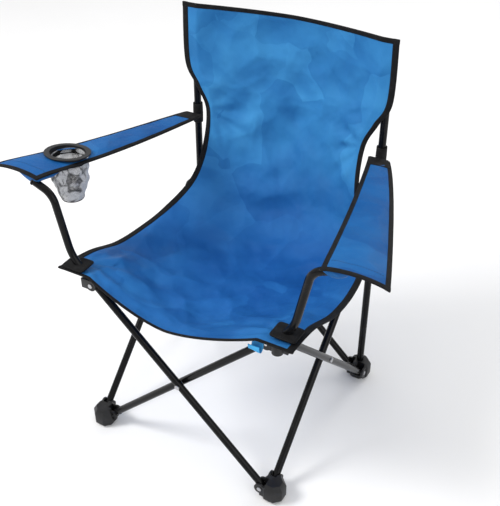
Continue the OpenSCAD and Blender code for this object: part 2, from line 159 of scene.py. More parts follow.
class Recipe:
    """Builds one node material around a single Principled shader."""

    def __init__(self, name: str) -> None:
        """Starts an empty material of that name."""
        self.material = bpy.data.materials.new(name)
        self.material.use_nodes = True
        self.tree = self.material.node_tree
        self.tree.nodes.clear()

    def add(self, kind: str, settings: dict, sockets: dict, out: int | str = 0) -> Wire:
        """Adds any node.

        Args:
            kind: the node's type.
            settings: its own properties, set first; "stops" are a ramp's (place, colour) pairs.
            sockets: values or wires for its inputs, by name or number.
            out: the output that is wanted.

        Returns:
            The wire from that output.
        """
        made = self.tree.nodes.new(kind)
        for key, value in settings.items():
            if key == "stops":
                ramp = made.color_ramp.elements
                while len(ramp) < len(value):
                    ramp.new(1.0)
                for stop, (place, shade) in zip(ramp, value):
                    stop.position = place
                    stop.color = shade
            else:
                setattr(made, key, value)
        for key, value in sockets.items():
            if isinstance(value, Wire):
                self.tree.links.new(value.output, made.inputs[key])
            else:
                made.inputs[key].default_value = value
        return Wire(self, made.outputs[out])

    def place(self) -> Wire:
        """Object coordinates."""
        return self.add("ShaderNodeTexCoord", {}, {}, "Object")

    def cloth_place(self) -> Wire:
        """The piece's UV map, which holds metres of cloth."""
        return self.add("ShaderNodeTexCoord", {}, {}, "UV")

    def axis(self, place: Wire, name: str) -> Wire:
        """One coordinate of a place."""
        return self.add("ShaderNodeSeparateXYZ", {}, {0: place}, name)

    def noise(self, place: Wire, scale: float, detail: float = 4.0, twist: float = 0.0) -> Wire:
        """Noise from 0 to 1, with features about 1/scale metres wide."""
        return self.add("ShaderNodeTexNoise", {}, {"Vector": place, "Scale": scale, "Detail": detail,
                                                   "Distortion": twist}, "Fac")

    def ramp(self, value: Wire, stops: list) -> Wire:
        """A colour ramp over a value."""
        return self.add("ShaderNodeValToRGB", {"stops": stops}, {"Fac": value}, "Color")

    def blend(self, share: "Wire | float", first: "Wire | tuple", second: "Wire | tuple") -> Wire:
        """A mix of two colours by share."""
        return self.add("ShaderNodeMix", {"data_type": "RGBA"}, {0: share, 6: first, 7: second}, 2)

    def fade(self, value: Wire, start: float, end: float, first: tuple, second: tuple) -> Wire:
        """A mix from the first colour to the second as the value goes from start to end."""
        return self.blend(self.ramp(value, [(start, colour(0, 0, 0)), (end, colour(1, 1, 1))]), first, second)

    def tint(self, share: float, base: Wire, shade: Wire) -> Wire:
        """The base colour multiplied by a shade, to a share."""
        return self.add("ShaderNodeMix", {"data_type": "RGBA", "blend_type": "MULTIPLY"},
                        {0: share, 6: base, 7: shade}, 2)

    def bump(self, height: Wire, depth: float, strength: float = 1.0, under: Wire | None = None) -> Wire:
        """A bump of the given depth in metres, over another bump if one is given."""
        sockets = {"Height": height, "Distance": depth, "Strength": strength}
        if under is not None:
            sockets["Normal"] = under
        return self.add("ShaderNodeBump", {}, sockets, "Normal")

    def finish(self, sockets: dict) -> bpy.types.Material:
        """Adds the Principled shader with these sockets and the output, and returns the material."""
        shader = self.add("ShaderNodeBsdfPrincipled", {}, sockets, "BSDF")
        output = self.tree.nodes.new("ShaderNodeOutputMaterial")
        self.tree.links.new(shader.output, output.inputs["Surface"])
        return self.material


def colour(red: float, green: float, blue: float) -> tuple[float, float, float, float]:
    """An opaque linear colour."""
    return (red, green, blue, 1.0)


# ---------------------------------------------------------------- finishes


@dataclass(frozen=True)
class Polyester:
    """Plain-woven coated polyester, crumpled, with its thread count, two shades, and a far colour painted on
    its higher parts as painted light.
    """

    name: str
    shade: tuple
    light: tuple
    far: tuple
    thread: float = 0.7 * MM

    def material(self) -> bpy.types.Material:
        """Weave bump from two crossed sines, soft crumples from noise, colour that drifts at random between
        the two shades, and painted light: painted shade and highlight with the crumples and facets, and a
        lighter painted top.
        """
        r = Recipe(self.name)
        cloth, place = r.cloth_place(), r.place()
        across, along = r.axis(cloth, "X"), r.axis(cloth, "Y")
        turn = 2 * math.pi / self.thread
        weave = (across * turn).sine() * (along * turn).sine()
        crumple = r.noise(place, 11, 3, 0.15)
        patch = r.noise(place, 4.5, 3, 0.4)
        # Painted light: from 0.34 m to 0.56 m up the colour is blended to the lighter far colour, so the back
        # is painted lighter as if lit.
        rise = r.axis(place, "Z")
        upper = r.ramp(rise, [(0.34, colour(0, 0, 0)), (0.56, colour(1, 1, 1))])
        base = r.fade(patch, 0.38, 0.64, self.shade, self.light)
        base = r.blend(upper, base, self.far)
        # Painted shade and highlight: the colour is darkened to 0.8 and lightened to 1.2 by the same crumple
        # noise that bumps the cloth.
        painted_crumple_shade = r.ramp(crumple, [(0.38, colour(0.8, 0.86, 0.9)), (0.62, colour(1.2, 1.12, 1.06))])
        base = r.tint(1.0, base, painted_crumple_shade)
        # Painted facet shade: distorted Voronoi cells darken and lighten the colour cell by cell, as painted
        # shade and light on crisp crumple facets.
        warp = r.add("ShaderNodeVectorMath", {"operation": "SCALE"},
                     {0: r.add("ShaderNodeTexNoise", {}, {"Vector": place, "Scale": 9, "Detail": 2}, "Color"),
                      "Scale": 0.11}, "Vector")
        warped = r.add("ShaderNodeVectorMath", {"operation": "ADD"}, {0: place, 1: warp}, "Vector")
        painted_facet_cells = r.add("ShaderNodeTexVoronoi", {"feature": "F1"}, {"Vector": warped, "Scale": 8}, "Color")
        plane = r.ramp(r.axis(painted_facet_cells, "X"), [(0.15, colour(0.74, 0.82, 0.87)),
                                             (0.85, colour(1.2, 1.12, 1.06))])
        base = r.tint(0.85, base, plane)
        facets = r.add("ShaderNodeTexVoronoi", {"feature": "SMOOTH_F1"},
                       {"Vector": place, "Scale": 13, "Smoothness": 0.2, "Randomness": 1.0}, "Distance")
        normal = r.bump(facets, 22 * MM, 0.6)
        normal = r.bump(crumple, 12 * MM, 0.4, normal)
        normal = r.bump(r.noise(place, 42, 4, 0.2), 1.8 * MM, 0.4, normal)
        normal = r.bump(weave, 0.12 * MM, 0.5, normal)
        return r.finish({"Base Color": base, "Roughness": 0.42 + crumple * 0.16, "Normal": normal,
                         "Specular IOR Level": 0.1})


@dataclass(frozen=True)
class RibbedTape:
    """Folded black tape or webbing, with ribs across its length."""

    name: str
    shade: tuple
    worn: tuple
    rib: float
    depth: float

    def material(self) -> bpy.types.Material:
        """Ribs from the absolute value of a sine along the UV length, fuzz from noise."""
        r = Recipe(self.name)
        cloth, place = r.cloth_place(), r.place()
        ribs = abs((r.axis(cloth, "Y") * (math.pi / self.rib)).sine())
        cords = abs((r.axis(cloth, "X") * (math.pi / (self.rib * 1.6))).sine())
        fuzz = r.noise(place, 90, 5)
        base = r.fade(fuzz, 0.45, 0.75, self.shade, self.worn)
        normal = r.bump(ribs * 0.7 + cords * 0.3, self.depth, 0.7)
        normal = r.bump(fuzz, 0.3 * MM, 0.4, normal)
        return r.finish({"Base Color": base, "Roughness": 0.66 + fuzz * 0.2, "Normal": normal,
                         "Specular IOR Level": 0.2})


@dataclass(frozen=True)
class OpenMesh:
    """Knitted mesh: threads round rows of small holes."""

    name: str
    shade: tuple
    light: tuple
    hole: float = 2.3 * MM

    def material(self) -> bpy.types.Material:
        """Holes are where the product of two sines on the UV map passes a limit."""
        r = Recipe(self.name)
        cloth, place = r.cloth_place(), r.place()
        turn = math.pi / self.hole
        grid = abs((r.axis(cloth, "X") * turn).sine() * (r.axis(cloth, "Y") * turn).sine())
        hole = grid.over(0.42)
        drift = r.noise(place, 38, 4, 1.2)
        base = r.fade(drift, 0.4, 0.52, self.shade, self.light)
        return r.finish({"Base Color": base, "Roughness": 0.6 + drift * 0.1, "Alpha": 1 - hole * 0.86,
                         "Normal": r.bump(grid, 0.5 * MM, 0.8), "Sheen Weight": 0.2})


@dataclass(frozen=True)
class GlossPaint:
    """Gloss powder coat: a deep colour, faint orange peel, dulled by rubbing."""

    name: str
    shade: tuple

    def material(self) -> bpy.types.Material:
        """Roughness rises where the rubbing noise is high."""
        r = Recipe(self.name)
        place = r.place()
        rub = r.noise(place, 26, 6, 0.3)
        scuff = r.noise(place, 240, 3)
        base = r.fade(rub, 0.5, 0.85, self.shade, colour(0.012, 0.012, 0.013))
        return r.finish({"Base Color": base, "Roughness": 0.1 + rub * 0.14 + scuff * 0.04,
                         "Normal": r.bump(r.noise(place, 320, 2), 0.12 * MM, 0.25),
                         "Specular IOR Level": 0.16})


@dataclass(frozen=True)
class MouldedPlastic:
    """Moulded plastic with a spark-eroded grain and slightly paler wear."""

    name: str
    shade: tuple
    worn: tuple

    def material(self) -> bpy.types.Material:
        """Fine grain bump and a low wear mask."""
        r = Recipe(self.name)
        place = r.place()
        wear = r.noise(place, 55, 6, 0.6)
        grain = r.noise(place, 900, 2)
        base = r.fade(wear, 0.48, 0.8, self.shade, self.worn)
        return r.finish({"Base Color": base, "Roughness": 0.36 + wear * 0.18,
                         "Normal": r.bump(grain, 0.15 * MM, 0.5), "Specular IOR Level": 0.35})


@dataclass(frozen=True)
class PlatedSteel:
    """Zinc-plated steel, a little stained."""

    name: str
    shade: tuple

    def material(self) -> bpy.types.Material:
        """Stains lower the shade and raise the roughness."""
        r = Recipe(self.name)
        place = r.place()
        stain = r.noise(place, 180, 5, 0.5)
        base = r.blend(stain, self.shade, colour(0.32, 0.32, 0.33))
        return r.finish({"Base Color": base, "Metallic": 1.0, "Roughness": 0.24 + stain * 0.2,
                         "Normal": r.bump(r.noise(place, 700, 2), 0.08 * MM, 0.5)})


@dataclass(frozen=True)
class PaleFloor:
    """A plain pale studio floor."""

    name: str
    shade: tuple

    def material(self) -> bpy.types.Material:
        """Almost even, with a very faint mottle."""
        r = Recipe(self.name)
        mottle = r.noise(r.place(), 3, 3)
        base = r.blend(mottle, self.shade, colour(0.9, 0.9, 0.905))
        return r.finish({"Base Color": base, "Roughness": 0.85, "Specular IOR Level": 0.2})


class Finish(Enum):
    """Every finish of the chair and of the stage."""

    # The sling's far colour is painted light: the lighter tone painted on its higher back.
    SLING = Polyester("sling_polyester", colour(0.011, 0.098, 0.35), colour(0.016, 0.125, 0.42),
                      colour(0.036, 0.215, 0.5))
    ARM = Polyester("arm_polyester", colour(0.008, 0.088, 0.29), colour(0.012, 0.105, 0.33),
                    colour(0.012, 0.11, 0.34))
    TAB = Polyester("tab_polyester", colour(0.05, 0.34, 0.7), colour(0.08, 0.42, 0.8),
                    colour(0.08, 0.42, 0.8))
    TAPE = RibbedTape("edge_tape_twill", colour(0.003, 0.003, 0.0035), colour(0.01, 0.01, 0.011),
                      0.9 * MM, 0.2 * MM)
    WEBBING = RibbedTape("black_webbing_ribbed", colour(0.004, 0.004, 0.0045), colour(0.014, 0.014, 0.015),
                         1.6 * MM, 0.4 * MM)
    THREAD = RibbedTape("black_thread", colour(0.012, 0.012, 0.014), colour(0.03, 0.03, 0.034),
                        0.5 * MM, 0.1 * MM)
    MESH = OpenMesh("cup_mesh_knit", colour(0.05, 0.05, 0.055), colour(0.62, 0.63, 0.65))
    PAINT = GlossPaint("gloss_black_paint", colour(0.003, 0.003, 0.0035))
    PLASTIC = MouldedPlastic("moulded_black_plastic", colour(0.006, 0.006, 0.007), colour(0.018, 0.018, 0.02))
    STEEL = PlatedSteel("zinc_plated_steel", colour(0.62, 0.62, 0.64))
    FLOOR = PaleFloor("pale_floor", colour(0.87, 0.87, 0.875))


class Wardrobe:
    """Makes each finish's material once and puts it on pieces."""

    def __init__(self) -> None:
        """Starts with no material made."""
        self.made: dict[Finish, bpy.types.Material] = {}

    def material(self, finish: Finish) -> bpy.types.Material:
        """The finish's material, made on its first use."""
        if finish not in self.made:
            self.made[finish] = finish.value.material()
        return self.made[finish]

    def dress(self, piece: bpy.types.Object, finish: Finish) -> None:
        """Gives a piece one finish."""
        piece.data.materials.clear()
        piece.data.materials.append(self.material(finish))

    def dress_node(self, node: bpy.types.Object, finish: Finish) -> None:
        """Assigns the finish to each of a CAD node's material slots."""
        for slot in node.material_slots:
            slot.material = self.material(finish)


# ---------------------------------------------------------------- mesh tools


def through(knots: Array, share: Array) -> Array:
    """Points on a smooth curve through knots: Catmull-Rom, at shares from 0 to 1 of its spans.

    Args:
        knots: the points, one in each row.
        share: any shape of shares.

    Returns:
        Points, in the shape of share with one more axis.
    """
    spans = len(knots) - 1
    s = np.clip(share, 0, 1) * spans
    i = np.minimum(np.floor(s).astype(int), spans - 1)
    f = (s - i)[..., None]
    a, b, c, d = (knots[np.clip(i + k, 0, spans)] for k in (-1, 0, 1, 2))
    return 0.5 * (2 * b + (c - a) * f + (2 * a - 5 * b + 4 * c - d) * f**2 + (3 * b - a - 3 * c + d) * f**3)


def unit(vectors: Array) -> Array:
    """Vectors divided by their lengths."""
    return vectors / np.maximum(np.linalg.norm(vectors, axis=-1, keepdims=True), 1e-9)


def faces_of(rows: int, columns: int, wrap: bool) -> Array:
    """Corner numbers of the quads of a grid, whose last column joins its first if it wraps."""
    j, i = np.meshgrid(np.arange(rows - 1), np.arange(columns if wrap else columns - 1), indexing="ij")
    k = (i + 1) % columns
    quads = [j * columns + i, j * columns + k, (j + 1) * columns + k, (j + 1) * columns + i]
    return np.stack(quads, -1).reshape(-1, 4)


def add_piece(name: str, mesh: bpy.types.Mesh) -> bpy.types.Object:
    """A new object of the mesh in the scene, at the origin, shaded smooth and with a UV map."""
    if not mesh.uv_layers:
        mesh.uv_layers.new(name="UVMap")
    mesh.polygons.foreach_set("use_smooth", np.ones(len(mesh.polygons), bool))
    mesh.update()
    made = bpy.data.objects.new(name, mesh)
    bpy.context.scene.collection.objects.link(made)
    return made


def word_of(side: int) -> str:
    """The word for a side: -1 is the left and 1 the right."""
    return "left" if side < 0 else "right"


def post_body(side: int) -> str:
    """The body of the back post on a side."""
    return "rear_" + word_of(side)


def corners(node: str) -> tuple[Array, Array]:
    """Lowest and highest corner of a CAD node."""
    low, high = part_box(node)
    return np.array(low), np.array(high)


def lay_grid(name: str, points: Array, uv: Array | None = None, wrap: bool = False,
             caps: bool = False) -> bpy.types.Object:
    """Makes a smooth mesh from a grid of points.

    Args:
        name: the piece's name.
        points: rows by columns by 3. Faces point along (next column) x (next row).
        uv: rows by (columns, or one more if it wraps) by 2, in metres of cloth.
        wrap: joins the last column to the first.
        caps: closes the first and last rows with one face each.

    Returns:
        The new object, at the origin.
    """
    rows, columns = points.shape[:2]
    quads = faces_of(rows, columns, wrap)
    polygons = quads.tolist()
    if caps:
        polygons.append(list(range(columns))[::-1])
        polygons.append(list(range((rows - 1) * columns, rows * columns)))
    mesh = bpy.data.meshes.new(name)
    mesh.from_pydata(points.reshape(-1, 3).tolist(), [], polygons)
    layer = mesh.uv_layers.new(name="UVMap")
    if uv is None:
        step = np.linalg.norm(np.diff(points, axis=0), axis=-1).mean(1)
        ring = np.linalg.norm(np.diff(np.concatenate([points, points[:, :1]], 1), axis=1), axis=-1).mean(0)
        along = np.concatenate([[0], np.cumsum(step)])
        around = np.concatenate([[0], np.cumsum(ring)])
        uv = np.stack(np.meshgrid(around, along), -1)
    wide = uv.shape[1]
    j, i = quads[:, 0] // columns, quads[:, 0] % columns
    loop_uv = np.stack([uv[j, i], uv[j, np.minimum(i + 1, wide - 1)], uv[j + 1, np.minimum(i + 1, wide - 1)],
                        uv[j + 1, i]], 1).reshape(-1, 2)
    flat = np.zeros((len(mesh.loops), 2))
    flat[: len(loop_uv)] = loop_uv
    layer.data.foreach_set("uv", flat.reshape(-1))
    return add_piece(name, mesh)


def on_surface(surface: Surface, u: Array, v: Array) -> tuple[Array, Array]:
    """Points and unit normals of a surface, from its two slopes."""
    h = 2e-3
    across = surface(u + h, v) - surface(u - h, v)
    along = surface(u, np.clip(v + h, 0, 1)) - surface(u, np.clip(v - h, 0, 1))
    return surface(u, v), unit(np.cross(across, along))


def full_turn(count: int) -> Array:
    """Angles once round, without the last."""
    return np.linspace(0, 2 * np.pi, count, endpoint=False)


def sides_along(path: Array) -> tuple[Array, Array]:
    """Two directions square to a path and to each other, the first as near to +Y as it can be."""
    tangent = unit(np.gradient(path, axis=0))
    side = np.broadcast_to(np.array([0.0, 1.0, 0.0]), path.shape)
    side = unit(side - (side * tangent).sum(-1, keepdims=True) * tangent)
    return side, np.cross(tangent, side)


def tube_along(name: str, path: Array, radius: float | Array, sides: int = 40) -> bpy.types.Object:
    """A round tube whose circle of the given radius is carried along a path, closed at both ends."""
    side, lift = sides_along(path)
    turn = full_turn(sides)[None, :, None]
    reach = np.broadcast_to(radius, (len(path),))[:, None, None]
    points = path[:, None] + reach * (np.cos(turn) * side[:, None] + np.sin(turn) * lift[:, None])
    return lay_grid(name, points, wrap=True, caps=True)


def superellipse(count: int, power: float) -> tuple[Array, Array]:
    """A squared circle: the cosine and sine of a full turn, each raised to a power under 1 with its sign."""
    turn = full_turn(count)
    return tuple(np.sign(part) * np.abs(part) ** power for part in (np.cos(turn), np.sin(turn)))


def strip_profile(width: float, thick: float, count: int = 14) -> tuple[Array, Array]:
    """A flat tape's closed outline: a superellipse of the given width and thickness, as two offsets."""
    x, y = superellipse(count, 0.45)
    return (x + 1) / 2 * width, y * thick / 2


def fade_in(u: Array, v: Array, side: float, start: float, end: float) -> Array:
    """A share: 0 on a sheet's edges, 1 further in than these shares of its width and length."""
    return (np.clip((0.5 - np.abs(u - 0.5)) / side, 0, 1) * np.clip(v / start, 0, 1)
            * np.clip((1 - v) / end, 0, 1))


def along_edge(run: Array, depth: Array, ends: bool, first: bool) -> tuple[Array, Array]:
    """Shares u and v of places beside one edge of a sheet.

    Args:
        run: how far along the edge, as a share of it.
        depth: how far in from the edge, as a share of the sheet.
        ends: True for the two edges across the sheet, False for its two sides.
        first: True for the edge where the share in from it starts at 0.

    Returns:
        u and v.
    """
    depth = depth if first else 1 - depth
    run, depth = np.broadcast_arrays(run, depth)
    return (run, depth) if ends else (depth, run)


def bind_edge(name: str, surface: Surface, run: Array, size: Array, outline: tuple[Array, Array],
              ends: bool, first: bool, flip: bool) -> bpy.types.Object:
    """Folded tape: an outline carried along one edge of a surface.

    Args:
        name: the piece's name.
        surface: the sheet.
        run: shares along the edge, in a column.
        size: the sheet's size in metres square to the edge, one or a column.
        outline: how far in and how far up each point of the outline lies.
        ends: True for the two edges across the sheet, False for its sides.
        first: True for the edge where the share in from it starts at 0.
        flip: turns the outline round, so that faces point outwards.

    Returns:
        The closed strip.
    """
    inward, lift = outline
    spot, normal = on_surface(surface, *along_edge(run, inward[None] / size, ends, first))
    points = spot + normal * lift[None, :, None]
    return lay_grid(name, points[:, ::-1] if flip else points, wrap=True, caps=True)


def stitches(name: str, path: Array, normal: Array, pitch: float = 5 * MM, length: float = 3.4 * MM,
             radius: float = 0.42 * MM) -> bpy.types.Object:
    """A row of short thread bumps along a path, each a six-sided spindle half sunk in the cloth.

    Args:
        name: the piece's name.
        path: points on the cloth.
        normal: the cloth's normal at each.
        pitch: the distance from one stitch to the next.
        length: of one stitch.
        radius: of the thread.

    Returns:
        One mesh with all the stitches.
    """
    reach = np.concatenate([[0], np.cumsum(np.linalg.norm(np.diff(path, axis=0), axis=1))])
    at = np.arange(pitch / 2, reach[-1], pitch)
    pick = lambda values, t: np.stack([np.interp(t, reach, values[:, k]) for k in range(3)], -1)
    middle, up = pick(path, at), unit(pick(normal, at))
    ahead = unit(pick(path, np.minimum(at + 1e-3, reach[-1])) - pick(path, np.maximum(at - 1e-3, 0)))
    side = unit(np.cross(up, ahead))
    rings = np.array([-0.5, -0.3, 0.3, 0.5]) * length
    swell = np.array([0.25, 1.0, 1.0, 0.25]) * radius
    turn = full_turn(6)
    spot = (middle[:, None, None] + rings[None, :, None, None] * ahead[:, None, None]
            + swell[None, :, None, None] * (np.cos(turn)[None, None, :, None] * side[:, None, None]
                                            + np.sin(turn)[None, None, :, None] * up[:, None, None]))
    quads = faces_of(4, 6, True)
    ends = [list(range(6))[::-1], list(range(18, 24))]
    polygons = []
    for k in range(len(at)):
        polygons += (quads + 24 * k).tolist() + [[n + 24 * k for n in end] for end in ends]
    mesh = bpy.data.meshes.new(name)
    mesh.from_pydata(spot.reshape(-1, 3).tolist(), [], polygons)
    return add_piece(name, mesh)


def thicken(piece: bpy.types.Object, thickness: float) -> None:
    """Gives a sheet its wall, evenly on both sides."""
    wall = piece.modifiers.new("wall", "SOLIDIFY")
    wall.thickness = thickness
    wall.offset = 0


def moulding(name: str, node: str, round_edge: float) -> bpy.types.Object:
    """A copy of a CAD node with its flat faces joined and its edges rounded, which replaces the node.

    Args:
        name: the new piece's name.
        node: the CAD node.
        round_edge: radius of the rounded edges.

    Returns:
        The new piece.
    """
    mesh = frame["nodes"][node].data.copy()
    mesh.name = name
    work = bmesh.new()
    work.from_mesh(mesh)
    bmesh.ops.remove_doubles(work, verts=work.verts, dist=2e-5)
    bmesh.ops.dissolve_limit(work, angle_limit=math.radians(0.6), verts=work.verts, edges=work.edges)
    work.to_mesh(mesh)
    work.free()
    made = add_piece(name, mesh)
    bevel = made.modifiers.new("rounded", "BEVEL")
    bevel.width = round_edge
    bevel.segments = 3
    bevel.limit_method = "ANGLE"
    bevel.angle_limit = math.radians(32)
    mesh.set_sharp_from_angle(angle=math.radians(50))
    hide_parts(node)
    return made


def ripples(place: Array, seed: int, waves: int, longest: float, shortest: float) -> Array:
    """Crumples from -1 to 1: a mean of ridged plane waves of random direction and phase.

    Args:
        place: points, with metres in their last axis (any count of axes).
        seed: of the random draws.
        waves: how many are added.
        longest: wavelength of the longest.
        shortest: wavelength of the shortest.

    Returns:
        One height for each point.
    """
    draw = np.random.default_rng(seed)
    total = np.zeros(place.shape[:-1])
    for _ in range(waves):
        length = math.exp(draw.uniform(math.log(shortest), math.log(longest)))
        way = draw.normal(size=place.shape[-1])
        way /= np.linalg.norm(way)
        turn = place @ np.roll(way, 1) * 2 * np.pi / (length * 1.9)
        bend = draw.uniform(0.2, 0.7) * np.sin(turn + draw.uniform(0, 6))
        wave = np.abs(np.sin(place @ way * np.pi / length + bend + draw.uniform(0, 6))) ** 0.8
        total += (1 - 2 * wave) * (length / longest)
    return total / waves


# ---------------------------------------------------------------- the chair's places


@dataclass
class Layout:
    """Driving places of the chair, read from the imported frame."""

    half: float = field(init=False)
    post_top: float = field(init=False)
    corner_z: float = field(init=False)
    arm_z: float = field(init=False)
    tube_r: float = field(init=False)
    pivot_z: float = field(init=False)
    foot_z: float = field(init=False)
    bar_off: float = 8.5 * MM
    reach: float = 23 * MM

    def __post_init__(self) -> None:
        """Reads each place from a node's box."""
        low, high = corners("rear_right_post")
        self.half = float(low[0] + high[0]) / 2
        self.tube_r = float(high[0] - low[0]) / 2
        self.post_top = float(high[2])
        middle_z = lambda node: float(sum(corners(node))[2]) / 2
        self.corner_z = middle_z("left_corner_patch") - 4 * MM
        self.arm_z = middle_z("left_arm_sleeve")
        self.pivot_z = middle_z("front_left_bracket_pins")
        self.foot_z = middle_z("front_left_foot_pins")

    @property
    def pivot_x(self) -> float:
        """Distance of the hub pivots from the middle."""
        return self.half - self.reach


class Upper(Enum):
    """The moving bodies that carry the sling beside the left post, each by its share."""

    RIGHT_POST = "rear_right"
    LEFT_SLIDER = "left_slider"
    RIGHT_SLIDER = "right_slider"
    LEFT_BRACKET = "left_bracket"
    RIGHT_BRACKET = "right_bracket"


@dataclass
class Slack:
    """How the sling's fabric follows the four upper hubs and the posts as the chair folds."""

    plan: Layout

    def shares(self, points: Array) -> dict[Upper, Array]:
        """Each carrier's share at each point: right share times front share times seat share.

        The seat share is 1 at the seat's level and falls smoothly to 0 at the top of the posts.
        """
        h = self.plan.half
        right = (points[:, 0] + h) / (2 * h)
        front = (h - points[:, 1]) / (2 * h)
        start = self.plan.corner_z + 30 * MM
        t = np.clip((points[:, 2] - start) / (self.plan.post_top - 125 * MM - start), 0, 1)
        seat = 1 - t * t * (3 - 2 * t)
        return {
            Upper.RIGHT_POST: right * (1 - seat),
            Upper.LEFT_SLIDER: (1 - right) * seat * (1 - front),
            Upper.RIGHT_SLIDER: right * seat * (1 - front),
            Upper.LEFT_BRACKET: (1 - right) * seat * front,
            Upper.RIGHT_BRACKET: right * seat * front,
        }

    def carry(self, piece: bpy.types.Object) -> None:
        """Rides the piece on the left post's body and hooks its points to the carriers by their shares."""
        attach(piece, "rear_left")
        count = len(piece.data.vertices)
        flat = np.empty(count * 3)
        piece.data.vertices.foreach_get("co", flat)
        for upper, share in self.shares(flat.reshape(-1, 3)).items():
            group = piece.vertex_groups.new(name=upper.value)
            for k in range(count):
                if share[k] > 1e-4:
                    group.add([k], min(1.0, float(share[k])), "REPLACE")
            hook = piece.modifiers.new("follow_" + upper.value, "HOOK")
            hook.object = frame["bodies"][upper.value]
            hook.vertex_group = group.name
            hook.falloff_type = "NONE"
            hook.matrix_inverse = frame["bodies"][upper.value].matrix_world.inverted() @ piece.matrix_world
        hooks = [m.name for m in piece.modifiers if m.type == "HOOK"]
        for place, name in enumerate(hooks):
            piece.modifiers.move(piece.modifiers.find(name), place)


# ---------------------------------------------------------------- the sling


